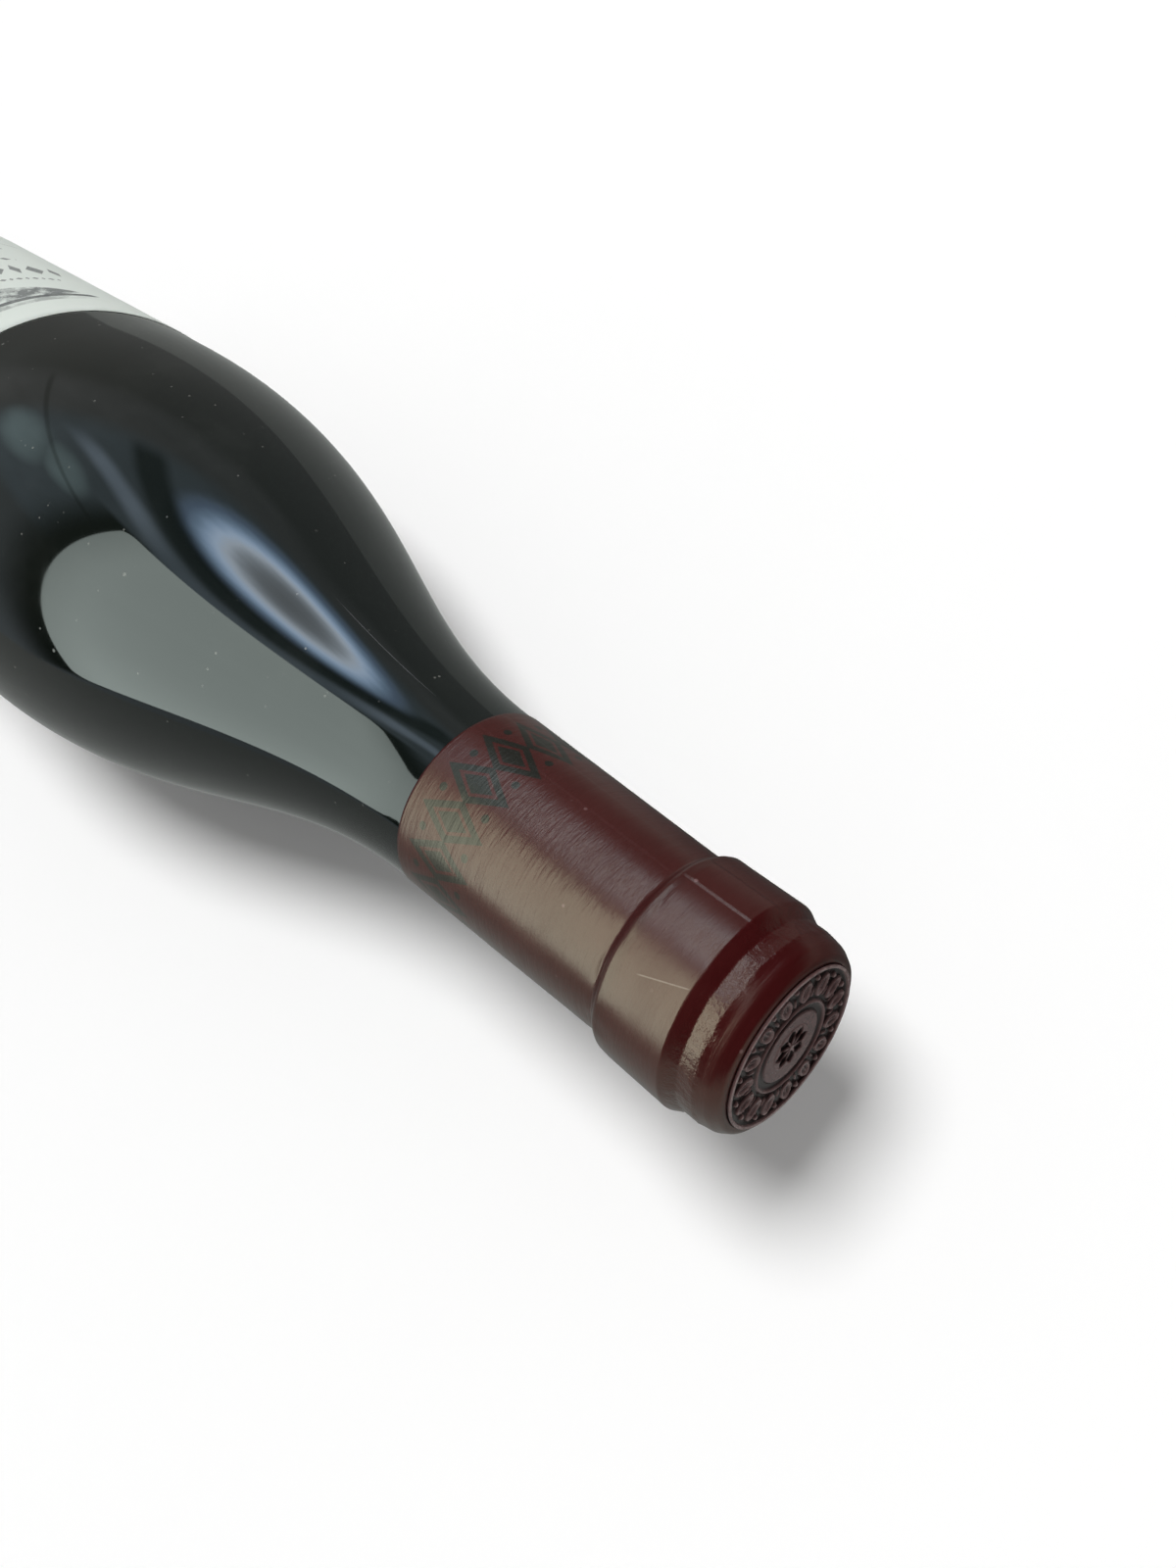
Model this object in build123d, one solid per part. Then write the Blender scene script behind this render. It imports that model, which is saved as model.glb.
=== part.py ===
from build123d import *
import os
from math import degrees, hypot

# A full 750 ml wine bottle with sloping shoulders, lying on its side with its label up.
# Millimetres. +X runs along the bottle's axis towards the mouth, +Z is up, and the origin is
# on the surface it lies on, half-way along its length. Places along the bottle are measured
# down from the top of its capsule, and places round it in degrees from the top towards +Y.

# ---- driving dimensions ----

# Glass body
total_length = 296.0          # base to the top of the capsule
body_radius = 41.0
heel_rounding = 6.0           # outer corner between the wall and the base
punt_radius = 25.0            # the hollow in the base, at its mouth
punt_depth = 24.0
punt_lip_rounding = 2.5       # inner corner between the base and the punt
rest_flat_depth = 0.15        # how much of the round wall the flat spot takes away

# Finish: the lip, the groove below it and the raised band
lip_length = 5.6              # from the capsule's top
lip_height = 0.1              # the lip stands this far out from the top of the neck
lip_rounding = 2.2
groove_slope = 0.5            # length over which the lip drops into the groove
groove_depth = 0.25
groove_width = 0.9
band_rise = 0.5               # length over which the groove rises to the band
band_length = 11.7
band_height = 1.25            # the band stands this far out from the top of the neck
band_rounding = 1.6
band_slope = 1.6              # length over which the band drops to the neck
step_rounding = 0.5           # the small corners of the finish

# Neck and shoulder
neck_radius = 13.5            # just below the band
neck_length = 39.2            # from the band to the start of the shoulder
neck_widening = 1.4           # how much wider the neck's radius is at the shoulder
shoulder_length = 120.0
neck_pull = 40.0              # how far the neck's direction carries into the shoulder
wall_pull = 61.0              # how far the wall's direction carries back into it

# Foil capsule
foil = 0.2
skirt_length = 59.2           # from the capsule's top to the edge of its skirt
seam_width = 5.0              # the skirt's lengthwise overlap, measured round the neck
seam_rise = 0.12              # the overlap stands this far above the foil beside it
seam_turn = 37.0              # the middle of the overlap
seam_clearance = 0.6          # the overlap stops this far short of the skirt's edge

# Embossed disc on top of the capsule
disc_thickness = 0.6
relief_height = 0.3           # the relief stands this far above the disc's field
rim_width = 0.45
inner_ring_radius = 3.35      # at mid-width, as the outer ring's
outer_ring_radius = 6.05
ring_width = 0.4
relief_gap = 0.3              # between the petals or lobes and what they lie between
button_radius = 0.45
petal_count = 8
petal_width = 0.95
lobe_count = 15
lobe_width = 1.7

# Front label
label_head_margin = 11.7      # from the end of the shoulder to the label
label_foot_margin = 8.3       # from the label to the rounding of the heel
label_width = 110.0           # measured round the wall
label_thickness = 0.2
label_corner = 2.0
label_turn = 5.0              # the label's middle

# ---- derived ----

axis_height = body_radius - rest_flat_depth
mouth = disc_thickness        # the glass starts under the disc
lip_radius = neck_radius + lip_height
groove_radius = lip_radius - groove_depth
band_radius = neck_radius + band_height
groove_start = lip_length + groove_slope
band_start = groove_start + groove_width + band_rise
band_end = band_start + band_length
neck_start = band_end + band_slope
shoulder_start = neck_start + neck_length
shoulder_radius = neck_radius + neck_widening
taper = neck_widening / neck_length
shoulder_end = shoulder_start + shoulder_length
disc_radius = lip_radius - lip_rounding
label_top = shoulder_end + label_head_margin
label_end = total_length - heel_rounding - label_foot_margin
cut_margin = 10.0             # how far a cutting shape reaches past what it cuts


def along(down):
    """The X of a place that far down from the top of the capsule."""
    return total_length / 2 - down


def at(down, radius):
    """A point of an outline that is later turned round the X axis."""
    return (along(down), radius)


def block(down_from, down_to, radius_from, radius_to):
    """A rectangle between two places along the bottle and two radii."""
    length = down_to - down_from
    depth = radius_to - radius_from
    middle = at(down_from + length / 2, radius_from + depth / 2)
    return Pos(*middle) * Rectangle(length, depth)


def face_within(*lines):
    """The flat face inside a closed chain of lines."""
    return make_face([edge for line in lines for edge in line.edges()])


def turned(outline):
    """The solid of an outline turned all the way round the bottle's axis."""
    return revolve(outline, Axis.X, 360)


def turned_strip(outline, width, radius, turn):
    """The solid of an outline turned part of the way: width is measured at that radius."""
    sweep = degrees(width / radius)
    strip = revolve(outline, Axis.X, sweep)
    return Rot(90 - turn - sweep / 2, 0, 0) * strip


def lay_down(shape):
    """Lift a shape made round the X axis to the height of the lying bottle."""
    return Pos(0, 0, axis_height) * shape


def finish_line():
    """The outline of the lip, groove, band and neck, from the mouth to the shoulder."""
    corners = [
        (lip_rounding, at(mouth, lip_radius)),
        (step_rounding, at(lip_length, lip_radius)),
        (step_rounding, at(groove_start, groove_radius)),
        (step_rounding, at(groove_start + groove_width, groove_radius)),
        (step_rounding, at(band_start, band_radius)),
        (band_rounding, at(band_end, band_radius)),
        (step_rounding, at(neck_start, neck_radius)),
    ]
    points = [at(mouth, 0)] + [point for rounding, point in corners]
    points.append(at(shoulder_start, shoulder_radius))
    return FilletPolyline(*points, radius=[rounding for rounding, point in corners])


def shoulder_line(raised=0):
    """The S-shaped curve that leaves the neck along its taper and meets the wall along it."""
    neck_end = shoulder_radius + raised
    wall = body_radius + raised
    return Bezier(
        at(shoulder_start, neck_end),
        at(shoulder_start + neck_pull, neck_end + taper * neck_pull),
        at(shoulder_end - wall_pull, wall),
        at(shoulder_end, wall),
    )


def body_line():
    """The outline of the wall, the heel and the flat ring of the base."""
    return FilletPolyline(
        at(shoulder_end, body_radius),
        at(total_length, body_radius),
        at(total_length, punt_radius),
        radius=[heel_rounding],
    )


def punt_line():
    """The outline of the dome in the base, square to the axis at its crown."""
    crown = at(total_length - punt_depth, 0)
    return TangentArc(crown, at(total_length, punt_radius), tangent=(0, 1))


def make_glass():
    """The bottle as one solid: what it holds and its closure are out of sight."""
    axis = Line(at(total_length - punt_depth, 0), at(mouth, 0))
    half = face_within(finish_line(), shoulder_line(), body_line(), punt_line(), axis)
    punt_rim = half.vertices().sort_by_distance((*at(total_length, punt_radius), 0))[0]
    glass = lay_down(turned(fillet(punt_rim, punt_lip_rounding)))
    under = Box(
        total_length + cut_margin,
        2 * body_radius,
        cut_margin,
        align=(Align.CENTER, Align.CENTER, Align.MAX),
    )
    return glass - under


def foil_layer(thickness, down_to):
    """Half the section of the foil on the glass, from the disc's edge to a place down it."""
    foot = Line(at(shoulder_start, shoulder_radius), at(shoulder_start, 0))
    axis = Line(at(shoulder_start, 0), at(mouth, 0))
    glass = face_within(finish_line(), foot, axis)
    neck_end = min(down_to, shoulder_start)
    on_neck = block(mouth - thickness, neck_end, disc_radius, body_radius)
    layer = (offset(glass, amount=thickness) & on_neck) - glass
    if down_to > shoulder_start:
        layer += shoulder_layer(thickness * hypot(1, taper), down_to)
    return layer


def shoulder_layer(thickness, down_to):
    """Half the section of foil that reaches past the neck, on to the shoulder."""
    start = Line(at(shoulder_start, shoulder_radius), at(shoulder_start, shoulder_radius + thickness))
    end = Line(at(shoulder_end, body_radius), at(shoulder_end, body_radius + thickness))
    layer = face_within(shoulder_line(), start, shoulder_line(thickness), end)
    return layer & block(shoulder_start, down_to, 0, body_radius + cut_margin)


def make_skirt():
    """The capsule's skirt: foil drawn over the finish, with its lengthwise overlap."""
    sleeve = turned(foil_layer(foil, skirt_length))
    overlap = foil_layer(foil + seam_rise, skirt_length - seam_clearance)
    strip = turned_strip(overlap, seam_width, neck_radius, seam_turn)
    return lay_down(sleeve + strip)


def ring(inner, outer):
    """A flat ring between two radii."""
    return Circle(outer) - Circle(inner)


def spokes(count, inner, outer, width):
    """Ellipses that point outwards, spread evenly round the disc between two radii."""
    petal = Ellipse((outer - inner) / 2, width / 2)
    return [place * petal for place in PolarLocations((inner + outer) / 2, count)]


def make_disc():
    """The embossed disc: a rim, two rings, a rosette of petals and a circle of lobes."""
    half_ring = ring_width / 2
    rim_inside = disc_radius - rim_width
    relief = Circle(button_radius) + ring(rim_inside, disc_radius)
    for radius in (inner_ring_radius, outer_ring_radius):
        relief += ring(radius - half_ring, radius + half_ring)
    petal_from = button_radius + relief_gap
    petal_to = inner_ring_radius - half_ring - relief_gap
    relief += spokes(petal_count, petal_from, petal_to, petal_width)
    lobe_from = outer_ring_radius + half_ring + relief_gap
    lobe_to = rim_inside - relief_gap
    relief += spokes(lobe_count, lobe_from, lobe_to, lobe_width)
    field = disc_thickness - relief_height
    disc = extrude(Circle(disc_radius), field)
    disc += Pos(0, 0, field) * extrude(relief, relief_height)
    return lay_down(Pos(along(disc_thickness), 0, 0) * Rot(0, 90, 0) * disc)


def make_label():
    """The front label: a sheet of paper bent round the wall."""
    sheet = block(label_top, label_end, body_radius, body_radius + label_thickness)
    label = turned_strip(sheet, label_width, body_radius, label_turn)
    corners = label.edges().filter_by(GeomType.LINE).filter_by(Axis.X, reverse=True)
    return lay_down(fillet(corners, label_corner))


os.makedirs("parts", exist_ok=True)
for node, solid in {
    "glass_bottle": make_glass(),
    "capsule_skirt": make_skirt(),
    "capsule_disc": make_disc(),
    "front_label": make_label(),
}.items():
    export_step(solid, f"parts/{node}.step")
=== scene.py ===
"""A wine bottle lying on its side: its glass, the foil capsule on its neck and its label."""

import math

import bmesh
import bpy
from mathutils import Matrix, Quaternion, Vector, noise
from mathutils.geometry import interpolate_bezier


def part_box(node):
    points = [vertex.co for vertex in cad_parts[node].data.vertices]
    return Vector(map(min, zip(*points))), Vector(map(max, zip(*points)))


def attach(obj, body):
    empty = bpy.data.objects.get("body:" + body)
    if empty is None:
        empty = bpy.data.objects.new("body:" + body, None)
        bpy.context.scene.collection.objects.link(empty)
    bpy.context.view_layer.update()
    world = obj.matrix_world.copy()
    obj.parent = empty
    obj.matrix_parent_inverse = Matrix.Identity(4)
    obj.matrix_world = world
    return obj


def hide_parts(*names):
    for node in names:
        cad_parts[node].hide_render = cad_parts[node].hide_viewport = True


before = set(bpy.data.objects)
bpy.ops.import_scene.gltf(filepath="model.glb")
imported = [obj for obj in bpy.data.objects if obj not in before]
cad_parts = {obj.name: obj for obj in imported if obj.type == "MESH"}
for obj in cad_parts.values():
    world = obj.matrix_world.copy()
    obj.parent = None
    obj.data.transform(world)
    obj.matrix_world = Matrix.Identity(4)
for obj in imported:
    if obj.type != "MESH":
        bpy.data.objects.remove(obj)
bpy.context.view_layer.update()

MM = 0.001

# Sizes, in metres.
body_radius = 41 * MM
total_length = 296 * MM
heel_rounding = 6 * MM
punt_radius = 25 * MM
punt_depth = 24 * MM
punt_lip_rounding = 2.5 * MM

# The neck finish: places are measured down from the capsule's top.
mouth = 0.6 * MM
lip_radius = 13.6 * MM
lip_rounding = 2.2 * MM
lip_end = 5.6 * MM
groove_radius = 13.35 * MM
groove_start = 6.1 * MM
groove_end = 6.8 * MM
band_radius = 14.75 * MM
band_start = 8.6 * MM
band_end = 18.6 * MM
step_end = 20.4 * MM
neck_radius = 13.5 * MM
taper_start = 20.8 * MM
foil_fit_end = 24 * MM

shoulder_start = 60 * MM
shoulder_radius = 14.9 * MM
shoulder_end = 180 * MM
taper = (shoulder_radius - neck_radius) / (shoulder_start - taper_start)
neck_pull = 40 * MM
wall_pull = 61 * MM

# The foil, and how much thinner the glass is under it.
foil = 0.2 * MM
foil_room = 0.25 * MM
skirt_length = 59.2 * MM
seam_from = math.radians(27)
seam_to = math.radians(47)
seam_edge = 0.012
seam_rise_mm = 0.11

disc_radius = 11.4 * MM
disc_thickness = 0.6 * MM
relief_height = 0.45 * MM

# The label, from its upper to its lower edge down the bottle, and across when flat.
label_top = 191.7 * MM
label_end = 281.7 * MM
label_width = 110 * MM
label_corner = 2 * MM
label_thickness = 0.2 * MM
label_turn = math.radians(5)
paper_gap = 0.03 * MM
paper_thickness = 0.15 * MM

# How finely the pieces are cut.
rounding_segments = 8
shoulder_steps = 72
punt_steps = 28
glass_steps = 288
glass_ring = 8 * MM
skirt_steps = 400
skirt_ring = 0.34 * MM
disc_steps = 340
disc_ring = 0.088 * MM
label_cuts_round = 72
label_cuts_along = 24

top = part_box("capsule_disc")[1].x
axis_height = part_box("glass_bottle")[1].z - body_radius


# ---------------------------------------------------------------- shader sums


class Signal:
    """One output of a shader node. Arithmetic on it adds Math nodes."""

    def __init__(self, sheet, socket):
        self.sheet = sheet
        self.socket = socket

    def math(self, operation, *values):
        return self.sheet.node("Math", {"operation": operation}, dict(enumerate(values)))

    def __add__(self, other):
        return self.math("ADD", self, other)

    def __radd__(self, other):
        return self.math("ADD", other, self)

    def __sub__(self, other):
        return self.math("SUBTRACT", self, other)

    def __rsub__(self, other):
        return self.math("SUBTRACT", other, self)

    def __mul__(self, other):
        return self.math("MULTIPLY", self, other)

    def __rmul__(self, other):
        return self.math("MULTIPLY", other, self)

    def __truediv__(self, other):
        return self.math("DIVIDE", self, other)

    def __rtruediv__(self, other):
        return self.math("DIVIDE", other, self)

    def __abs__(self):
        return self.math("ABSOLUTE", self)

    def fraction(self):
        return self.math("FRACT", self)

    def whole(self):
        return self.math("FLOOR", self)

    def larger(self, other):
        return self.math("MAXIMUM", self, other)

    def rise(self, start, end):
        """0 before start, 1 after end, a smooth step between."""
        settings = {"interpolation_type": "SMOOTHSTEP"}
        return self.sheet.node("MapRange", settings, {"Value": self, "From Min": start, "From Max": end})

    def fall(self, start, end):
        """1 before start, 0 after end."""
        return 1 - self.rise(start, end)

    def within(self, low, high, edge):
        """1 between two values, with edges of the given softness."""
        return self.rise(low - edge, low + edge) * self.fall(high - edge, high + edge)


class Sheet:
    """A node tree and the one way in which its nodes are added."""

    def __init__(self, tree):
        self.tree = tree
        tree.nodes.clear()

    def node(self, kind, settings=None, inputs=None, output=0):
        """Adds a node: its settings first, then the values or links of its sockets."""
        node = self.tree.nodes.new("ShaderNode" + kind)
        for name, value in (settings or {}).items():
            if name == "stops":
                self.set_stops(node.color_ramp.elements, value)
            else:
                setattr(node, name, value)
        for name, value in (inputs or {}).items():
            if isinstance(value, Signal):
                self.tree.links.new(value.socket, node.inputs[name])
            else:
                node.inputs[name].default_value = value
        return Signal(self, node.outputs[output]) if node.outputs else None

    def set_stops(self, elements, stops):
        while len(elements) < len(stops):
            elements.new(1.0)
        for element, (position, shade) in zip(elements, stops):
            element.position = position
            element.color = shade

    def place(self, centre=(0, 0, 0), turn=(0, 0, 0), scale=(1, 1, 1)):
        """Object coordinates, centred, turned and scaled by a Mapping node."""
        coordinates = self.node("TexCoord", output="Object")
        mapping = {"Vector": coordinates, "Location": centre, "Rotation": turn, "Scale": scale}
        return self.node("Mapping", {"vector_type": "TEXTURE"}, mapping)

    def split(self, vector):
        """The three parts of a vector or a colour."""
        first = self.node("SeparateXYZ", None, {0: vector})
        return [Signal(self, socket) for socket in first.socket.node.outputs]

    def noise(self, scale, detail=2.0, roughness=0.5, stretch=(1, 1, 1)):
        """Noise with so many lumps to the metre, stretched along the axes."""
        settings = {"Vector": self.place(scale=stretch), "Scale": scale}
        settings.update({"Detail": detail, "Roughness": roughness})
        return self.node("TexNoise", None, settings)

    def blend(self, factor, under, over):
        """One colour over another."""
        return self.node("Mix", {"data_type": "RGBA"}, {0: factor, 6: under, 7: over}, 2)


def colour(red, green, blue):
    return (red, green, blue, 1.0)


def square(signal):
    return signal * signal


def new_finish(name):
    """An empty node material and its sheet."""
    material = bpy.data.materials.new(name)
    material.use_nodes = True
    return material, Sheet(material.node_tree)


def finish_surface(sheet, sockets):
    """The one shader of a surface, and the material's output."""
    shader = sheet.node("BsdfPrincipled", None, sockets)
    sheet.node("OutputMaterial", None, {"Surface": shader})


def bottle_place(sheet):
    """How far down the bottle a point is, in mm, and its turn from the top of the lying bottle."""
    along, across, up = sheet.split(sheet.place(centre=(top, 0, axis_height), scale=(MM, MM, MM)))
    turn = across.math("ARCTAN2", across, up) * (180 / math.pi)
    return along * -1, turn


# ---------------------------------------------------------------- finishes


def glass_finish():
    """Dark green glass with dark wine behind it: near black, glossy, a little dusty."""
    material, sheet = new_finish("dark_bottle_glass")
    down, turn = bottle_place(sheet)
    depth = sheet.noise(22, detail=2)
    shade = sheet.blend(depth, colour(0.004, 0.0062, 0.0056), colour(0.0078, 0.0105, 0.0085))
    # Painted light: towards the wall the glass is lightened to olive, as where light would shine through
    # it.
    shade = sheet.blend(down.rise(110, 190) * 0.7, shade, colour(0.0125, 0.0125, 0.0085))
    specks = specks_mask(sheet, 210, size=0.11, rarity=0.86)
    motes = specks_mask(sheet, 520, size=0.13, rarity=0.80)
    dust = specks.larger(motes * 0.7)
    film = sheet.noise(46, detail=4, roughness=0.65).rise(0.52, 0.80)
    smears = sheet.noise(120, detail=3, roughness=0.6, stretch=(6, 1, 1)).rise(0.58, 0.82)
    hairline = abs(turn - 26.5 + down * 0.02).fall(0.05, 0.22) * down.within(70, 90, 4)
    marked = sheet.blend(hairline * 0.35, shade, colour(0.25, 0.26, 0.27))
    dusty = sheet.blend(dust * 0.6, marked, colour(0.34, 0.34, 0.31))
    base = sheet.blend(film * 0.02, dusty, colour(0.30, 0.32, 0.30))
    waves = sheet.noise(30, detail=1, roughness=0.4, stretch=(3.5, 1, 1))
    waved = sheet.node("Bump", None, {"Height": waves, "Strength": 0.05, "Distance": 0.4 * MM})
    knurls = {"Height": knurl_marks(down, turn), "Strength": 0.8, "Distance": 0.3 * MM}
    knurled = sheet.node("Bump", None, {**knurls, "Normal": waved})
    sockets = {"Base Color": base, "Normal": knurled, "IOR": 1.57}
    sockets["Roughness"] = 0.035 + film * 0.03 + smears * 0.025 + dust * 0.3
    finish_surface(sheet, sockets)
    return material


def specks_mask(sheet, scale, size, rarity):
    """Small round specks, one in some of the cells of a scatter."""
    distance = sheet.node("TexVoronoi", None, {"Vector": sheet.place(), "Scale": scale})
    drawn = Signal(sheet, distance.socket.node.outputs["Color"])
    chance, grain, _ = sheet.split(drawn)
    return distance.fall(size * 0.5, size) * chance.rise(rarity, rarity + 0.02) * grain.rise(0.0, 0.9)


def knurl_marks(down, turn):
    """Short ridges round the foot, as the mould leaves them, one every three degrees."""
    base_edge = total_length / MM
    ridges = (turn / 3.0).fraction().within(0.25, 0.75, 0.15)
    return ridges * down.within(base_edge - 0.8, base_edge + 1.0, 0.3)


def foil_finish():
    """Burgundy lacquered foil: lengthwise rubs, fine wrinkles and a ring of printed marks."""
    material, sheet = new_finish("burgundy_foil")
    down, turn = bottle_place(sheet)
    mottle = sheet.noise(60, detail=3, roughness=0.55)
    lacquer = sheet.blend(mottle, colour(0.038, 0.0026, 0.0033), colour(0.055, 0.0044, 0.0054))
    # Painted shade: the foil is darkened in the crease round the band's lower edge.
    creased = down.within(17.8, 20.6, 0.7)
    crease_shaded = sheet.blend(creased * 0.45, lacquer, colour(0.030, 0.0015, 0.0020))
    ink = printed_marks(down, turn)
    inked = sheet.blend(ink, crease_shaded, colour(0.0035, 0.0050, 0.0042))
    specks = specks_mask(sheet, 420, size=0.14, rarity=0.90)
    speckled = sheet.blend(specks * 0.35, inked, colour(0.32, 0.20, 0.20))
    base = sheet.blend(scratch_mark(down, turn) * 0.5, speckled, colour(0.30, 0.24, 0.20))
    streaks = sheet.noise(260, detail=4, roughness=0.7, stretch=(0.35, 3.2, 3.2))
    crinkled = 0.25 + turn.within(-14, 26, 8) * down.within(20, 50, 6) * 0.75
    crinkles = sheet.noise(520, detail=3, roughness=0.62, stretch=(0.30, 2.2, 2.2)) * crinkled
    crumples = sheet.noise(900, detail=3, roughness=0.7, stretch=(1.0, 0.8, 0.8))
    crumpled = crumples * down.within(3.4, 7.6, 0.6)
    grain = sheet.noise(2600, detail=2, roughness=0.6)
    rubs = sheet.noise(85, detail=5, roughness=0.7, stretch=(0.8, 2.0, 2.0)).rise(0.45, 0.75)
    fine = sheet.node("Bump", None, {"Height": grain, "Strength": 0.10, "Distance": 0.05 * MM})
    wrinkles = streaks * 0.5 + crinkles + crumpled * 1.1
    bumps = {"Height": wrinkles, "Strength": 0.75, "Distance": 0.16 * MM}
    wrinkled = sheet.node("Bump", None, {**bumps, "Normal": fine})
    sockets = {"Base Color": base, "Normal": wrinkled, "IOR": 1.72}
    sockets["Specular Tint"] = colour(1.0, 0.86, 0.66)
    sockets["Roughness"] = 0.27 + rubs * 0.07 + ink * 0.02 + mottle * 0.03
    finish_surface(sheet, sockets)
    return material


def scratch_mark(down, turn):
    """One fine slanted scratch across the band."""
    slip = abs((turn * 0.26 + 6.24) * 0.94 + (down - 15) * 0.34)
    return slip.fall(0.03, 0.13) * down.within(8.6, 15.0, 0.4)


def printed_marks(down, turn):
    """Fifteen tall lozenges round the skirt, each split by fine lines, with beads between them."""
    pitch = 24.0
    row = 50.5
    mm_per_degree = 0.262
    cell = (turn / pitch + 0.5).fraction() - 0.5
    across = abs(cell) * pitch
    height = abs(down - row)
    lozenge = (across / 12.4 + height / 6.3).fall(0.985, 1.015)
    core = (across / 8.0 + height / 4.1).fall(0.98, 1.02)
    heart = (across / 6.0 + height / 3.0).fall(0.98, 1.02)
    beside = (0.5 - abs(cell)) * pitch * mm_per_degree
    bead = (square(beside) + square(height - 4.4)).fall(0.34, 0.46)
    return (lozenge - core).larger(heart).larger(bead)


def disc_finish():
    """The same foil, pressed, with its raised lines painted brighter as highlights and its hollows
    painted nearly black as shade.
    """
    material, sheet = new_finish("pressed_foil")
    level = sheet.split(sheet.place(centre=(top, 0, axis_height), scale=(MM, MM, MM)))[0]
    # Painted highlight and painted shade: the raised parts take a lighter colour and the hollows a
    # nearly black one.
    raised = level.rise(-relief_height / MM, -0.04)
    mottle = sheet.noise(700, detail=3, roughness=0.6)
    low = sheet.blend(mottle, colour(0.004, 0.0004, 0.0005), colour(0.010, 0.0010, 0.0012))
    high = sheet.blend(mottle, colour(0.090, 0.042, 0.042), colour(0.18, 0.108, 0.104))
    base = sheet.blend(raised, low, high)
    # Painted highlight along the tops of the relief and the rim, in patches.
    painted_top_highlight = level.rise(-0.09, 0.0) * mottle.rise(0.3, 0.6)
    top_highlighted = sheet.blend(painted_top_highlight * 0.45, base, colour(0.34, 0.27, 0.26))
    grain = sheet.noise(2600, detail=2, roughness=0.6)
    fine = sheet.node("Bump", None, {"Height": grain, "Strength": 0.12, "Distance": 0.05 * MM})
    sockets = {"Base Color": top_highlighted, "Normal": fine, "IOR": 1.47}
    sockets["Specular Tint"] = colour(1.0, 0.72, 0.70)
    sockets["Roughness"] = 0.22 + mottle * 0.08
    finish_surface(sheet, sockets)
    return material


def label_finish():
    """Pale uncoated paper printed with plain grey shapes, laid out in mm on its own map."""
    material, sheet = new_finish("pale_label_paper")
    spot = sheet.node("UVMap", {"uv_map": "print"})
    across, down, _ = sheet.split(spot)
    across = across * (label_width / MM) - label_width / MM / 2
    down = down * ((label_end - label_top) / MM)
    tone = sheet.noise(40, detail=4, roughness=0.6)
    fibres = sheet.noise(1500, detail=3, roughness=0.7, stretch=(1, 2.5, 1))
    paper = sheet.blend(tone, colour(0.66, 0.71, 0.665), colour(0.72, 0.765, 0.715))
    ink = label_print(sheet, across, down)
    faint = fibres.rise(0.35, 0.8)
    printed = sheet.blend(ink * (0.90 - faint * 0.25), paper, colour(0.055, 0.055, 0.06))
    felt = sheet.node("Bump", None, {"Height": fibres, "Strength": 0.12, "Distance": 0.05 * MM})
    sockets = {"Base Color": printed, "Normal": felt, "IOR": 1.45}
    sockets["Roughness"] = 0.62 + faint * 0.1
    finish_surface(sheet, sockets)
    return material


# Rows of the label: how far down, half their height, their pitch and half their width, in mm.
label_rows = [
    (28.2, 0.8, 1.7, 30.0),
    (37.0, 4.0, 4.3, 34.0),
    (47.5, 1.1, 3.0, 28.0),
    (55.0, 0.7, 2.3, 22.0),
    (60.0, 0.7, 2.3, 30.0),
    (74.0, 0.5, 1.7, 34.0),
    (78.5, 0.5, 1.7, 27.0),
]


def label_print(sheet, across, down):
    """A hatched lens over a ground line, then rows of plain bars, all grey."""
    half_width = 32.6
    reach = abs(across / half_width)
    bow = 1 - reach.math("POWER", reach, 2.6)
    ground = 12.2 + reach * reach * 1.6
    crown = ground + bow * 11.5
    ends = reach.fall(0.985, 1.0)
    lens = (down - ground).rise(-0.1, 0.1) * (crown - down).rise(-0.1, 0.1) * ends
    hatch = hatching(sheet, across, down)
    line = abs(down - ground - 0.3).fall(0.75, 0.95) * reach.fall(0.95, 0.97)
    below = (ground - down).within(0.3, 3.0, 0.3) * reach.fall(0.7, 1.0) * hatch * 0.6
    rule = abs(down - 68.0).fall(0.12, 0.2) * abs(across).fall(36, 36.2)
    rows = rule * 0.8
    for height, half_height, pitch, half_row in label_rows:
        rows = rows.larger(plain_bars(across, down, height, half_height, pitch, half_row))
    return (lens * hatch).larger(line).larger(below).larger(rows * 0.85)


def hatching(sheet, across, down):
    """Uneven pen strokes: fine slanted lines broken up by noise."""
    tangle = sheet.noise(900, detail=3, roughness=0.65)
    lumps = sheet.noise(260, detail=3, roughness=0.6)
    slant = (across * 1.25 + down * 1.9 + tangle * 1.6).fraction()
    strokes = slant.within(0.15, 0.66, 0.1)
    return (strokes * lumps.rise(0.36, 0.50)).larger(lumps.rise(0.50, 0.58) * 0.85)


def plain_bars(across, down, height, half_height, pitch, half_width):
    """A row of short upright lozenges, wide and narrow by turns."""
    cell = (across / pitch).fraction() - 0.5
    odd = ((across / pitch).whole() / 2).fraction() * 2
    width = 0.46 - odd * 0.20
    shape = (abs(cell) / width + abs(down - height) / half_height).fall(0.95, 1.05)
    return shape * abs(across).fall(half_width, half_width + 0.1)


# ---------------------------------------------------------------- shapes


def at(down, radius):
    """A point of an outline: so far down the bottle from its top, so far from its axis."""
    return Vector((top - down, 0, axis_height + radius))


def shoulder_line():
    """The S-shaped curve from the neck's taper to the straight wall."""
    neck_handle = at(shoulder_start + neck_pull, shoulder_radius + taper * neck_pull)
    wall_handle = at(shoulder_end - wall_pull, body_radius)
    ends = at(shoulder_start, shoulder_radius), at(shoulder_end, body_radius)
    return interpolate_bezier(ends[0], neck_handle, wall_handle, ends[1], shoulder_steps)


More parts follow.
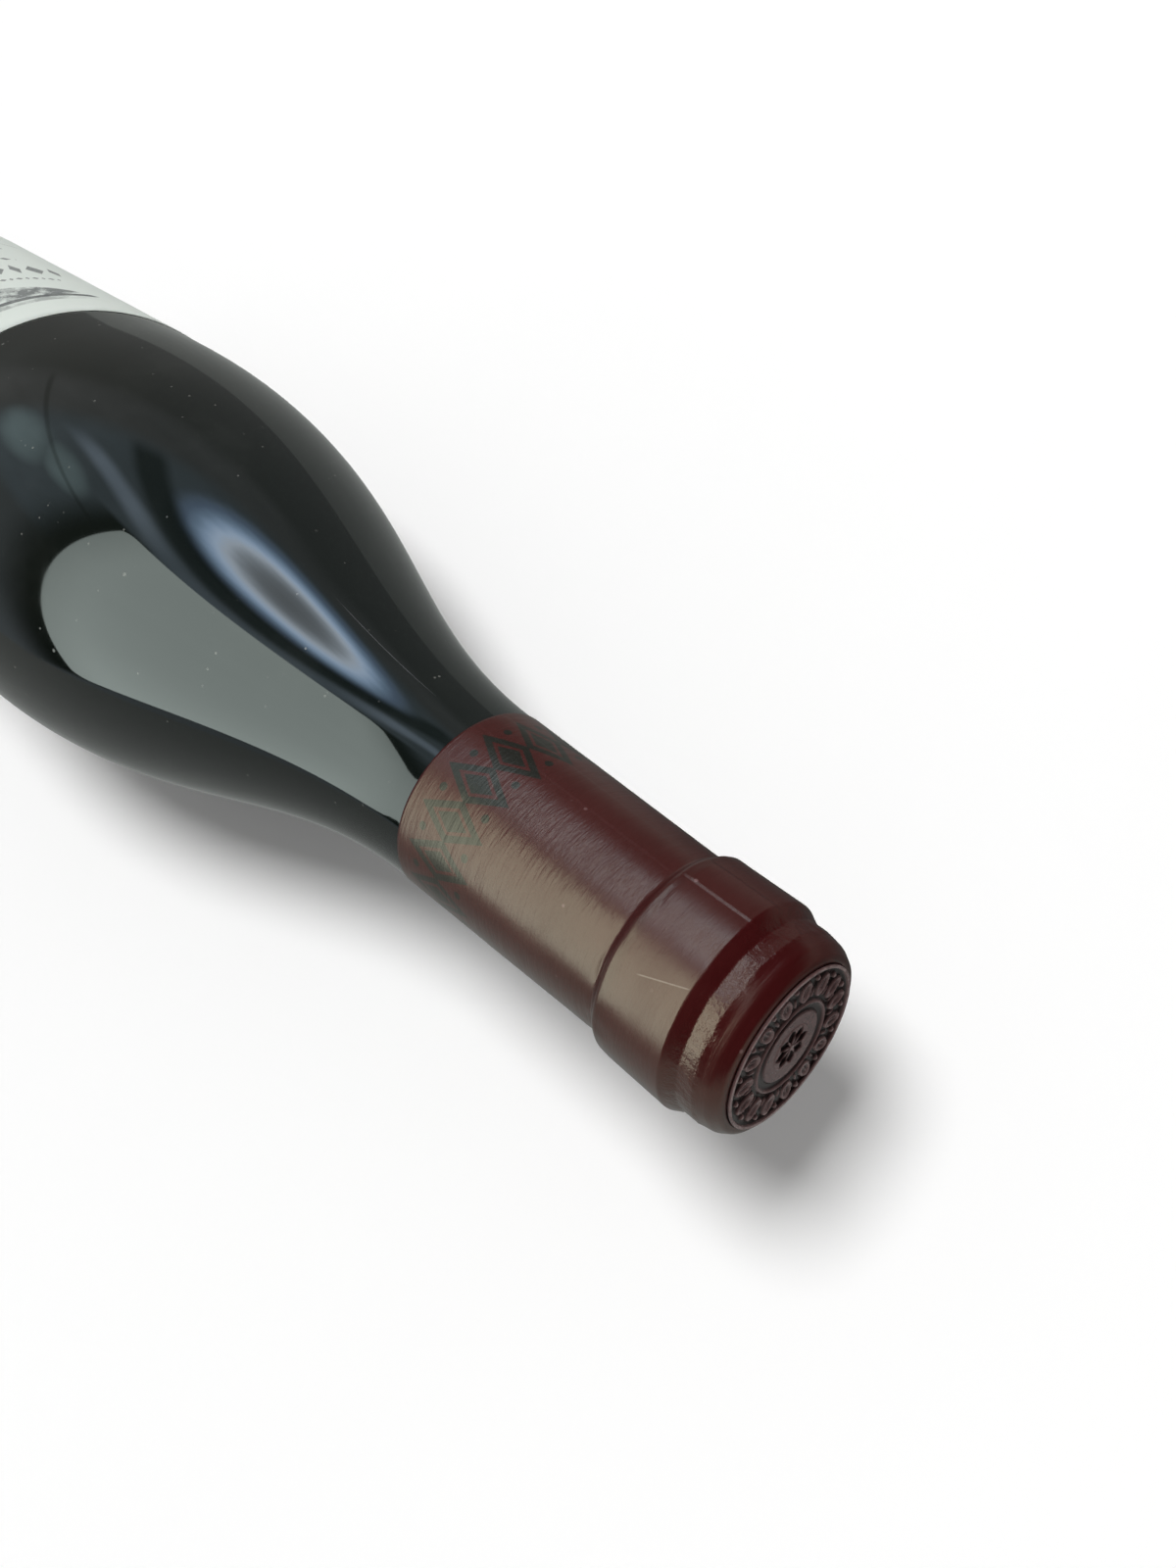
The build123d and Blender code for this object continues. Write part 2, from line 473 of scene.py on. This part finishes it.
def draw_outline(bm, corners):
    """A chain of edges through (point, rounding) corners, each corner rounded by its radius."""
    points = [point for point, _ in corners]
    chain = [bm.verts.new(point) for point in points]
    for start, end in zip(chain, chain[1:]):
        bm.edges.new((start, end))
    roundings = [rounding for _, rounding in corners]
    for before, corner, after, vert, rounding in zip(
        points, points[1:], points[2:], chain[1:], roundings[1:]
    ):
        if rounding:
            inside = (before - corner).angle(after - corner)
            reach = rounding / math.tan(inside / 2)
            bmesh.ops.bevel(
                bm, geom=[vert], offset=reach, offset_type="OFFSET", segments=rounding_segments,
                profile=0.5, affect="VERTICES", material=-1,
            )


def divide_edges(bm, longest):
    """Cuts the longer edges into pieces no longer than asked."""
    by_cuts = {}
    for edge in bm.edges:
        cuts = math.ceil(edge.calc_length() / longest) - 1
        if cuts > 0:
            by_cuts.setdefault(cuts, []).append(edge)
    for cuts, edges in by_cuts.items():
        bmesh.ops.subdivide_edges(bm, edges=edges, cuts=cuts)


def extend_outline(bm, end, points):
    """Carries a chain on from the vertex at its end through more points."""
    last = min(bm.verts, key=lambda vert: (vert.co - end).length)
    for point in points:
        following = bm.verts.new(point)
        bm.edges.new((last, following))
        last = following


def spin_round_axis(bm, steps):
    """Turns an outline into a closed body of revolution."""
    bmesh.ops.spin(
        bm, geom=bm.verts[:] + bm.edges[:], cent=(0, 0, axis_height), axis=(1, 0, 0),
        angle=2 * math.pi, steps=steps, use_merge=True,
    )
    bmesh.ops.remove_doubles(bm, verts=bm.verts, dist=1e-6)
    bmesh.ops.recalc_face_normals(bm, faces=bm.faces)


def bottle_turn(point):
    """The turn of a point round the axis, from the top towards +Y."""
    return math.atan2(point.y, point.z - axis_height)


def outwards(point):
    """The direction from the axis to a point."""
    away = Vector((0, point.y, point.z - axis_height))
    return away.normalized() if away.length > 0 else away


def add_piece(bm, name, finish, node=None):
    """Makes the mesh an object; one with a node rides on the bottle in that CAD node's place."""
    mesh = bpy.data.meshes.new(name)
    bm.to_mesh(mesh)
    bm.free()
    mesh.polygons.foreach_set("use_smooth", [True] * len(mesh.polygons))
    mesh.materials.append(finish)
    piece = bpy.data.objects.new(name, mesh)
    bpy.context.scene.collection.objects.link(piece)
    if node:
        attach(piece, "root")
        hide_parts(node)
    return piece


def make_glass():
    """Neck, shoulder, wall, heel and the domed base, with the flat spot that it rests on."""
    bm = bmesh.new()
    corners = [
        (at(mouth, 0), 0),
        (at(mouth, lip_radius - foil_room), lip_rounding),
        (at(lip_end, lip_radius - foil_room), 0.5 * MM),
        (at(groove_start, groove_radius - foil_room), 0.3 * MM),
        (at(groove_end, groove_radius - foil_room), 0.3 * MM),
        (at(band_start, band_radius - foil_room), 0.5 * MM),
        (at(band_end, band_radius - foil_room), 1.6 * MM),
        (at(step_end, neck_radius - foil_room), 0.5 * MM),
        (at(foil_fit_end, neck_radius), 0),
    ]
    corners += [(point, 0) for point in shoulder_line()]
    corners += [(at(total_length, body_radius), heel_rounding)]
    corners += [(at(total_length, punt_radius), punt_lip_rounding)]
    corners += [(point, 0) for point in punt_line()]
    draw_outline(bm, corners)
    divide_edges(bm, glass_ring)
    spin_round_axis(bm, glass_steps)
    for vert in bm.verts:
        vert.co.z = max(vert.co.z, 0.0)
    return add_piece(bm, "bottle_glass", glass_finish(), "glass_bottle")


def punt_line():
    """The dome of the base as an arc from inside its rim to its crown."""
    dome_radius = (punt_depth**2 + punt_radius**2) / (2 * punt_depth)
    centre = total_length - punt_depth + dome_radius
    sweep = math.asin(punt_radius / dome_radius)
    arc = []
    for i in range(3, punt_steps + 1):
        angle = sweep * (1 - i / punt_steps)
        arc.append(at(centre - dome_radius * math.cos(angle), dome_radius * math.sin(angle)))
    return arc


def foil_outline():
    """The skirt's section: its outside from the disc's edge down, then its hidden side back up."""
    foot = neck_radius + taper * (skirt_length - taper_start)
    outside = [
        (at(0.4 * MM, disc_radius), 0),
        # over the lip
        (at(0.4 * MM, 12.35 * MM), 0.9 * MM),
        (at(1.9 * MM, 13.35 * MM), 1.8 * MM),
        (at(3.9 * MM, 13.76 * MM), 0.7 * MM),
        # across the groove, over the band and down its step
        (at(6.3 * MM, 13.78 * MM), 0.6 * MM),
        (at(8.2 * MM, band_radius + foil), 0.7 * MM),
        (at(19.3 * MM, band_radius + foil), 1.3 * MM),
        (at(20.6 * MM, neck_radius + foil), 0.6 * MM),
        # along the neck to the foot
        (at(skirt_length, foot + foil), 0),
    ]
    hidden = [
        (at(skirt_length, foot), 0),
        (at(foil_fit_end, neck_radius), 0),
        (at(step_end, neck_radius - foil), 0),
        (at(18.2 * MM, band_radius - foil), 0),
        (at(8.8 * MM, band_radius - foil), 0),
        (at(groove_end, groove_radius - foil), 0),
        (at(3.25 * MM, groove_radius - foil), 0),
        (at(mouth + 0.64 * MM, lip_radius - 1.3 * MM), 0),
        (at(mouth, disc_radius), 0),
    ]
    return outside, hidden


def bell(value, centre, width):
    """A smooth bump of height 1 at its centre."""
    return math.exp(-(((value - centre) / width) ** 2))


def ramp(value, start, end):
    """A smooth step from 0 at start to 1 at end."""
    part = min(max((value - start) / (end - start), 0.0), 1.0)
    return part * part * (3 - 2 * part)


def ripple(turn, down, round_scale, down_scale, seed):
    """Smooth noise on the skirt that meets itself all the way round; down is in mm."""
    spot = (math.cos(turn) * round_scale, math.sin(turn) * round_scale, down * down_scale + seed)
    return noise.noise(Vector(spot))


def foil_relief(turn, down):
    """How far the foil stands proud, in mm, where it is gathered, creased and lapped."""
    # gathers between the lip and the band
    gathers = ripple(turn, down, 5.5, 0.30, 3.0) + 0.22 * ripple(turn, down, 20.0, 0.9, 11.0)
    lift = 0.17 * gathers * ramp(down, 3.0, 4.2) * ramp(-down, -8.0, -6.2)
    lift += 0.04 * ripple(turn, down, 5.0, 0.5, 17.0) * bell(down, 2.0, 1.4)
    # two folds that run round the band's lower edge
    fold = 19.9 + 0.9 * ripple(turn, 0.0, 2.6, 1.0, 5.0)
    lift -= 0.16 * bell(down, fold, 0.55) * (0.45 + 1.3 * abs(ripple(turn, 0.0, 2.2, 1.0, 23.0)))
    second = 18.2 + 1.4 * ripple(turn, 0.0, 3.3, 1.0, 31.0)
    lift -= 0.10 * bell(down, second, 0.40) * ramp(ripple(turn, 0.0, 2.0, 1.0, 41.0), 0.0, 0.3)
    # dents along the skirt
    lift += 0.11 * ripple(turn, down, 6.0, 0.40, 7.0) * bell(down, 19.6, 2.4)
    lift += 0.03 * ripple(turn, down, 2.2, 0.09, 13.0)
    lift += 0.012 * ripple(turn, down, 6.0, 0.9, 29.0) * ramp(down, 20, 24)
    # the overlap, from the band to the foot
    lap = ramp(turn, seam_from, seam_from + seam_edge) - ramp(turn, seam_to - seam_edge, seam_to)
    lap *= (1 - 0.7 * ramp(down, 18, 20)) * ramp(down, 6.6, 8.0) * ramp(-down, -58.8, -58.4)
    return lift + seam_rise_mm * lap


def make_skirt():
    """The capsule's skirt: foil spun over the neck finish, then gathered and creased."""
    bm = bmesh.new()
    outside, hidden = foil_outline()
    draw_outline(bm, outside)
    divide_edges(bm, skirt_ring)
    extend_outline(bm, outside[-1][0], [point for point, _ in hidden] + [outside[0][0]])
    spin_round_axis(bm, skirt_steps)
    for vert in bm.verts:
        turn = bottle_turn(vert.co)
        down = (top - vert.co.x) / MM
        vert.co += outwards(vert.co) * foil_relief(turn, down) * MM
    return add_piece(bm, "capsule_skirt_foil", foil_finish(), "capsule_skirt")


def disc_relief(radius, turn):
    """How far the pressed disc rises above its field, in mm, at a radius in mm."""
    rim = ramp(radius, 10.88, 11.0)
    outer_ring = bell(radius, 6.35, 0.30) * 0.85
    inner_ring = bell(radius, 3.12, 0.16) * 0.85
    plateau = ramp(-radius, -5.35, -4.95) * 0.62
    rosette = ramp(-radius, -3.15, -2.95)
    height = max(rim, outer_ring, inner_ring, plateau * (1 - rosette))
    height = max(height, rosette * rosette_relief(radius, turn))
    height = max(height, lobe_relief(radius, turn))
    return height * relief_height / MM


def rosette_relief(radius, turn):
    """Eight drop-shaped hollows between thin ribs, round a button."""
    petals = 8
    cell = (turn / (2 * math.pi) * petals) % 1.0 - 0.5
    across = abs(cell) * 2 * math.pi / petals * radius
    half = 0.68 * math.sin(math.pi * min(max((radius - 0.55) / 2.35, 0.0), 1.0) ** 1.7)
    rib = ramp(across, half, half + 0.13)
    button = ramp(-radius, -0.55, -0.35)
    return max(0.75 * rib, button)


def lobe_relief(radius, turn):
    """Fifteen hollow lobes round the disc, a vein down each, a bead and a stem between each pair."""
    lobes = 15
    cell = (turn / (2 * math.pi) * lobes) % 1.0 - 0.5
    across = abs(cell) * 2 * math.pi / lobes * radius
    part = (radius - 8.75) / 1.80
    edge = math.hypot(across / 1.12, part)
    lobe = ramp(-edge, -1.0, -0.80) * (0.80 + 0.2 * bell(edge, 0.86, 0.12))
    hollow = ramp(-math.hypot(across / 0.62, (radius - 8.85) / 1.12), -1.0, -0.6)
    vein = bell(across, 0.0, 0.16) * 0.5
    lobe = lobe * (1 - 0.72 * hollow) + vein * hollow * 0.9
    between = (0.5 - abs(cell)) * 2 * math.pi / lobes * radius
    bead = ramp(-math.hypot(between, radius - 10.05) / 0.55, -1.0, -0.35)
    stem = ramp(-math.hypot(between / 0.30, (radius - 7.9) / 0.95), -1.0, -0.5) * 0.7
    return max(lobe, bead, stem)


def make_disc():
    """The embossed disc on top of the capsule, its relief raised from a flat field."""
    bm = bmesh.new()
    field = relief_height
    underside = [at(disc_thickness, disc_radius), at(disc_thickness, 0)]
    draw_outline(bm, [(at(field, 0), 0), (at(field, disc_radius), 0)])
    divide_edges(bm, disc_ring)
    extend_outline(bm, at(field, disc_radius), underside)
    spin_round_axis(bm, disc_steps)
    for vert in bm.verts:
        down = top - vert.co.x
        away = Vector((0, vert.co.y, vert.co.z - axis_height)).length
        if down < field + 0.01 * MM:
            vert.co.x += disc_relief(away / MM, bottle_turn(vert.co)) * MM
    return add_piece(bm, "capsule_disc_foil", disc_finish(), "capsule_disc")


def make_label():
    """A sheet of paper with rounded corners, bent round the wall."""
    bm = bmesh.new()
    length = label_end - label_top
    bmesh.ops.create_grid(bm, x_segments=1, y_segments=1, size=0.5)
    bmesh.ops.scale(bm, vec=(length, label_width, 1), verts=bm.verts)
    bmesh.ops.bevel(
        bm, geom=bm.verts[:], offset=label_corner, offset_type="OFFSET", segments=6,
        profile=0.5, affect="VERTICES", material=-1,
    )
    for i in range(1, label_cuts_round):
        line = (i / label_cuts_round - 0.5) * label_width
        geometry = bm.verts[:] + bm.edges[:] + bm.faces[:]
        bmesh.ops.bisect_plane(bm, geom=geometry, plane_co=(0, line, 0), plane_no=(0, 1, 0))
    for i in range(1, label_cuts_along):
        line = (i / label_cuts_along - 0.5) * length
        geometry = bm.verts[:] + bm.edges[:] + bm.faces[:]
        bmesh.ops.bisect_plane(bm, geom=geometry, plane_co=(line, 0, 0), plane_no=(1, 0, 0))
    print_map = bm.loops.layers.uv.new("print")
    for face in bm.faces:
        for loop in face.loops:
            point = loop.vert.co
            loop[print_map].uv = (point.y / label_width + 0.5, 0.5 - point.x / length)
    middle = top - (label_top + label_end) / 2
    for vert in bm.verts:
        turn = label_turn + vert.co.y / (body_radius + label_thickness)
        lift = corner_lift(vert.co.x / length, vert.co.y / label_width)
        radius = body_radius + paper_gap + lift
        vert.co = (
            middle + vert.co.x, math.sin(turn) * radius, axis_height + math.cos(turn) * radius
        )
    bmesh.ops.recalc_face_normals(bm, faces=bm.faces)
    bmesh.ops.solidify(bm, geom=bm.faces[:], thickness=-paper_thickness)
    return add_piece(bm, "front_label_paper", label_finish(), "front_label")


def corner_lift(along, across):
    """The paper lifts by a hair at its corners."""
    corner = ramp(abs(along), 0.46, 0.5) * ramp(abs(across), 0.46, 0.5)
    return 0.02 * MM * corner


# ---------------------------------------------------------------- studio


def direction(azimuth, elevation):
    """The unit vector at an azimuth from +X towards +Y and an elevation, in degrees."""
    a, e = math.radians(azimuth), math.radians(elevation)
    return Vector((math.cos(e) * math.cos(a), math.cos(e) * math.sin(a), math.sin(e)))


# Each panel stands at its reach from the origin, in metres, and is drawn in shares of that reach.
softbox_reach = 0.5
softbox_centre = Vector((-0.016, -0.75, 0.661)) * softbox_reach
softbox_left = Vector((-0.91, 0.36, -0.19)).normalized()
softbox_up = Vector((0.10, 0.64, 0.76))
softbox_corners = [(-0.12, -0.60), (0.43, -0.60), (0.43, 0.69), (-0.12, 0.69)]
softbox_rounding = 0.025
edge_corners = [(0.34, -0.66), (0.72, -0.66), (0.72, 0.76), (0.34, 0.76)]
edge_gap = 0.01
edge_rounding = 0.02

overhead = direction(128, 64)
overhead_across = Vector((-0.788, -0.616, 0.0))
overhead_up = Vector((0.553, -0.708, 0.438))
umbrella_reach = 0.4
umbrella_radius = 0.5
canopy_reach = 0.56
canopy_corners = [(-0.65, -0.50), (0.90, -0.50), (0.90, 1.20), (-0.65, 1.20)]
canopy_rounding = 0.02

lamp_heading = direction(110, 87)
lamp_height = 2.5
lamp_radius = 0.5
lamp_strength = 20.0
room_light = 0.27
backdrop_light = 0.71

table_top = 1 * MM
shade_glow_half_size = 2.3
shade_glow_rounding = 0.05
walls_radius = 2.2
floor_half_size = 12.0


def overhead_point(reach, across=0.0, up=0.0):
    """A point above the shoulder, in shares of its reach."""
    return (overhead + overhead_across * across + overhead_up * up) * reach


umbrella_hub = overhead_point(umbrella_reach, -0.35, 0.29)


def glow_finish(name, paint):
    """A glow that is clear from behind; paint(sheet) returns its colour, strength and cover."""
    material, sheet = new_finish(name)
    shade, strength, cover = paint(sheet)
    glow = sheet.node("Emission", None, {"Color": shade, "Strength": strength})
    clear = sheet.node("BsdfTransparent")
    front = 1 - sheet.node("NewGeometry", output="Backfacing")
    shader = sheet.node("MixShader", None, {0: front * cover, 1: clear, 2: glow})
    sheet.node("OutputMaterial", None, {"Surface": shader})
    return material


def seen_in_gloss_only(piece):
    """Keeps a studio piece out of the camera's sight and out of the lamp's light."""
    piece.visible_camera = False
    piece.visible_diffuse = False
    piece.visible_shadow = False


def offset_along(sheet, centre, axis, reach):
    """How far a point is from a centre along an axis, in shares of a reach."""
    offset = sheet.node("VectorMath", {"operation": "SUBTRACT"}, {0: sheet.place(), 1: centre})
    return sheet.node("VectorMath", {"operation": "DOT_PRODUCT"}, {0: offset, 1: axis / reach}, 1)


def panel(name, finish, centre, across, up, corners, rounding):
    """A flat panel in the studio with the given corners, facing along across x up."""
    bm = bmesh.new()
    bm.faces.new([bm.verts.new((side, height, 0)) for side, height in corners])
    bmesh.ops.bevel(
        bm, geom=bm.verts[:], offset=rounding, offset_type="OFFSET", segments=rounding_segments,
        profile=0.5, affect="VERTICES", material=-1,
    )
    across = Vector(across).normalized()
    up = (Vector(up) - across * across.dot(Vector(up))).normalized()
    turned = Matrix((across, up, across.cross(up))).transposed().to_4x4()
    bmesh.ops.transform(bm, matrix=Matrix.Translation(centre) @ turned, verts=bm.verts)
    seen_in_gloss_only(add_piece(bm, name, finish))


def softbox_paint(sheet):
    """Cool white cloth, weaker towards its far end."""
    side = offset_along(sheet, softbox_centre, softbox_left, softbox_reach)
    cloth = sheet.noise(10, detail=2)
    return colour(0.87, 1.0, 0.95), 3.2 - side.rise(0.28, 0.50) * 1.1 + cloth * 0.2, 1.0


def softbox_edge_paint(sheet):
    """The softbox's black edge, which fades out away from it."""
    side = offset_along(sheet, softbox_centre, softbox_left, softbox_reach)
    height = offset_along(sheet, softbox_centre, softbox_up.normalized(), softbox_reach)
    return colour(0, 0, 0), 0.0, side.fall(0.46, 0.66) * height.within(-0.62, 0.71, 0.03)


def round_panel(name, finish, centre, facing, radius):
    """A round panel in the studio, facing a direction."""
    bm = bmesh.new()
    bmesh.ops.create_circle(bm, cap_ends=True, radius=radius, segments=48)
    turned = facing.to_track_quat("Z", "Y").to_matrix().to_4x4()
    bmesh.ops.transform(bm, matrix=Matrix.Translation(centre) @ turned, verts=bm.verts)
    return add_piece(bm, name, finish)


def umbrella_paint(sheet):
    """A reflecting umbrella: dull at its middle, then a bright cool ring that fades to blue."""
    away = sheet.node("VectorMath", {"operation": "DISTANCE"}, {0: sheet.place(), 1: umbrella_hub}, 1)
    ribs = (sheet.noise(60, detail=3) - 0.5) * 0.02
    away = away / umbrella_reach + ribs
    # radius, red, green and blue, from the hub outwards
    stops = [(0.14, 0.8, 0.9, 0.95), (0.215, 1.1, 1.2, 1.3), (0.243, 1.6, 1.8, 2.0)]
    stops += [(0.266, 2.7, 3.1, 3.5), (0.290, 4.4, 5.1, 5.9), (0.312, 4.2, 5.4, 7.0)]
    stops += [(0.335, 2.8, 3.9, 5.4), (0.362, 1.5, 2.2, 3.1), (0.392, 0.8, 1.15, 1.7)]
    stops += [(0.43, 0.55, 0.75, 1.0), (0.47, 0.3, 0.38, 0.5)]
    brightest = 8.0
    ring = []
    for radius, red, green, blue in stops:
        shade = colour(red / brightest, green / brightest, blue / brightest)
        ring.append((radius / umbrella_radius, shade))
    shade = sheet.node("ValToRGB", {"stops": ring}, {0: away / umbrella_radius})
    side = offset_along(sheet, overhead_point(umbrella_reach), overhead_across, umbrella_reach)
    along, _, _ = sheet.split(sheet.place())
    strength = brightest * (0.06 + side.fall(-0.005, 0.065) * 0.94)
    return shade, strength, away.fall(0.41, 0.48) * along.fall(0.03, 0.08)


def canopy_paint(sheet):
    """The studio over the table: dim and blue, with a lilac strip, a dark gap and a crease."""
    centre = overhead_point(canopy_reach)
    side = offset_along(sheet, centre, overhead_across, canopy_reach)
    height = offset_along(sheet, centre, overhead_up, canopy_reach)
    folds = sheet.noise(12, detail=3)
    bend = (0.30 - height).larger(0.0)
    strip_line = 0.248 + bend * bend * 0.85
    strip = abs(side - strip_line).fall(0.01, 0.085)
    strip = strip * height.rise(-0.18, 0.04) * (0.25 + height.fall(0.20, 0.50) * 0.45)
    near = square(side - 0.53) * 2.0 + square(height - 0.12)
    far = square(side - 0.70) + square(height + 0.06)
    patch = near.fall(0.0, 0.035).larger(far.fall(0.0, 0.04) * 0.9)
    crease = abs(side - 0.545).fall(0.004, 0.02) * height.within(-0.5, 0.42, 0.05)
    gap = side.within(0.05, 0.175, 0.03) * height.rise(-0.24, -0.12)
    lower = height.fall(-0.30, -0.12)
    dim = sheet.blend(lower, colour(0.34, 0.43, 0.50), colour(0.29, 0.30, 0.31))
    teal = sheet.blend(patch, dim, colour(0.78, 1.06, 1.12))
    lilac = sheet.blend(strip, teal, colour(1.40, 1.75, 2.15))
    shade = sheet.blend(gap * 0.85, lilac, colour(0.02, 0.03, 0.035))
    fade = side.rise(-0.45, -0.30) * side.fall(0.95, 1.15) * height.rise(-0.62, -0.40)
    return shade, (0.8 + folds * 0.4) * (1 - crease * 0.4), fade


def floor_shade_paint(sheet):
    """A glowing grey sheet round the bottle, painted as the floor in the bottle's shade: darker still in
    the neck's painted shade on one side and painted lighter on the other.
    """
    pile = sheet.noise(30, detail=3)
    along, side, _ = sheet.split(sheet.place())
    beside_neck = along.rise(0.03, 0.10)
    shaded = beside_neck * side.rise(0.0, 0.03) * side.fall(0.12, 0.35)
    lit = beside_neck * side.fall(-0.04, -0.01) * side.rise(-0.5, -0.2)
    tone = sheet.blend(pile, colour(0.26, 0.275, 0.265), colour(0.31, 0.325, 0.315))
    return tone, 1.0 - shaded * 0.65 + lit * 0.45, 1.0


def make_umbrella():
    """The umbrella, which faces down at the shoulder."""
    finish = glow_finish("umbrella_glow", umbrella_paint)
    radius = umbrella_radius * umbrella_reach
    seen_in_gloss_only(round_panel("umbrella", finish, umbrella_hub, -overhead, radius))


def make_softbox():
    """The softbox, and the black edge that frames its far end."""
    across, up = softbox_left, softbox_up
    cloth = glow_finish("softbox_glow", softbox_paint)
    corners = [(side * softbox_reach, height * softbox_reach) for side, height in softbox_corners]
    panel("softbox", cloth, softbox_centre, across, up, corners, softbox_rounding)
    edge = glow_finish("black_edge", softbox_edge_paint)
    behind = softbox_centre - across.cross(up).normalized() * edge_gap
    corners = [(side * softbox_reach, height * softbox_reach) for side, height in edge_corners]
    panel("softbox_edge", edge, behind, across, up, corners, edge_rounding)


def make_canopy():
    """A dim sheet over the table, behind the umbrella."""
    finish = glow_finish("canopy_glow", canopy_paint)
    corners = [(height * canopy_reach, side * canopy_reach) for height, side in canopy_corners]
    centre = overhead_point(canopy_reach)
    panel("canopy", finish, centre, overhead_up, overhead_across, corners, canopy_rounding)


def make_floor_shade_glow():
    """A dim glowing sheet under the bottle, which only the glass and the foil show: a painted reflection
    of the floor in shade.
    """
    finish = glow_finish("floor_shade_glow", floor_shade_paint)
    finish.cycles.emission_sampling = "NONE"
    half = shade_glow_half_size
    corners = [(-half, -half), (half, -half), (half, half), (-half, half)]
    centre = Vector((0, 0, table_top))
    panel("floor_shade_glow", finish, centre, Vector((1, 0, 0)), Vector((0, 1, 0)), corners, shade_glow_rounding)


def make_lamp():
    """The lamp over the table that gives the object its even light and its shadow."""
    paint = colour(1.0, 1.0, 1.0), lamp_strength, 1.0
    finish = glow_finish("lamp_glow", lambda sheet: paint)
    lamp = round_panel("lamp", finish, lamp_heading * lamp_height, -lamp_heading, lamp_radius)
    lamp.visible_glossy = False
    lamp.visible_camera = False


def walls_paint(sheet):
    """The wall beyond the base, bluish to one side and dim grey to the other; the rest is black."""
    along, side, _ = sheet.split(sheet.place())
    shade = sheet.blend(side.rise(-1.1, 0.9), colour(0.28, 0.32, 0.35), colour(0.17, 0.175, 0.175))
    return shade, along.fall(-0.44, -0.40), 1.0


def make_walls():
    """A dome round the table, which only the glass and the foil show."""
    bm = bmesh.new()
    bmesh.ops.create_uvsphere(bm, u_segments=96, v_segments=48, radius=walls_radius)
    geometry = bm.verts[:] + bm.edges[:] + bm.faces[:]
    bmesh.ops.bisect_plane(
        bm, geom=geometry, plane_co=(0, 0, table_top), plane_no=(0, 0, -1), clear_outer=True
    )
    bmesh.ops.reverse_faces(bm, faces=bm.faces)
    finish = glow_finish("wall_glow", walls_paint)
    finish.cycles.emission_sampling = "NONE"
    seen_in_gloss_only(add_piece(bm, "studio_walls", finish))


def seen_directly(sheet):
    """1 for what the camera sees, straight or in gloss, and 0 for the light between pieces."""
    straight = sheet.node("LightPath", output="Is Camera Ray")
    in_gloss = sheet.node("LightPath", output="Is Glossy Ray")
    through = sheet.node("LightPath", output="Is Transmission Ray")
    return straight.larger(in_gloss).larger(through)


def make_floor():
    """A large sheet of white paper, made up to an even white where the lamp no longer reaches."""
    bm = bmesh.new()
    bmesh.ops.create_grid(bm, x_segments=1, y_segments=1, size=floor_half_size)
    material, sheet = new_finish("floor_paper")
    pulp = sheet.noise(9, detail=2)
    shade = sheet.blend(pulp, colour(0.93, 0.93, 0.93), colour(0.945, 0.945, 0.945))
    paper = {"Base Color": shade, "Roughness": 0.9, "Specular IOR Level": 0.1}
    away = sheet.node("VectorMath", {"operation": "LENGTH"}, {0: sheet.place()}, 1)
    spread = 1 + square(away / lamp_height)
    far_light = seen_directly(sheet) * (0.05 + (1 - 1 / square(spread)) * 0.68)
    light = sheet.blend(far_light, colour(0, 0, 0), colour(1, 1, 1))
    paper.update({"Emission Color": light, "Emission Strength": 1.0})
    finish_surface(sheet, paper)
    add_piece(bm, "floor_sheet", material)


def make_room():
    """An even, dim light from all round the table; gloss shows the walls in its place."""
    world = bpy.data.worlds.new("studio")
    bpy.context.scene.world = world
    world.use_nodes = True
    sheet = Sheet(world.node_tree)
    strength = room_light + seen_directly(sheet) * backdrop_light
    sky = {"Color": colour(1.0, 0.995, 0.985), "Strength": strength}
    background = sheet.node("Background", None, sky)
    sheet.node("OutputWorld", None, {"Surface": background})
    world.cycles_visibility.glossy = False


def make_camera():
    """The view from above the capsule, rolled so that the bottle runs up to the left."""
    disc_centre = Vector((top, 0, axis_height))
    eye = disc_centre + Vector((48.43, -18.43, 144.78)) * MM
    forward = direction(155.65, -48.56)
    aim = forward.to_track_quat("-Z", "Y")
    roll = Quaternion(forward, math.radians(28.6))
    data = bpy.data.cameras.new("camera")
    data.lens = 27.31
    data.sensor_width = 36
    data.shift_y = -0.106
    data.clip_start = 1 * MM
    camera = bpy.data.objects.new("camera", data)
    bpy.context.scene.collection.objects.link(camera)
    camera.matrix_world = Matrix.Translation(eye) @ (roll @ aim).to_matrix().to_4x4()
    bpy.context.scene.camera = camera


make_camera()
make_glass()
make_skirt()
make_disc()
make_label()
make_floor()
make_softbox()
make_umbrella()
make_canopy()
make_floor_shade_glow()
make_lamp()
make_walls()
make_room()

bpy.context.scene.view_settings.view_transform = "Standard"
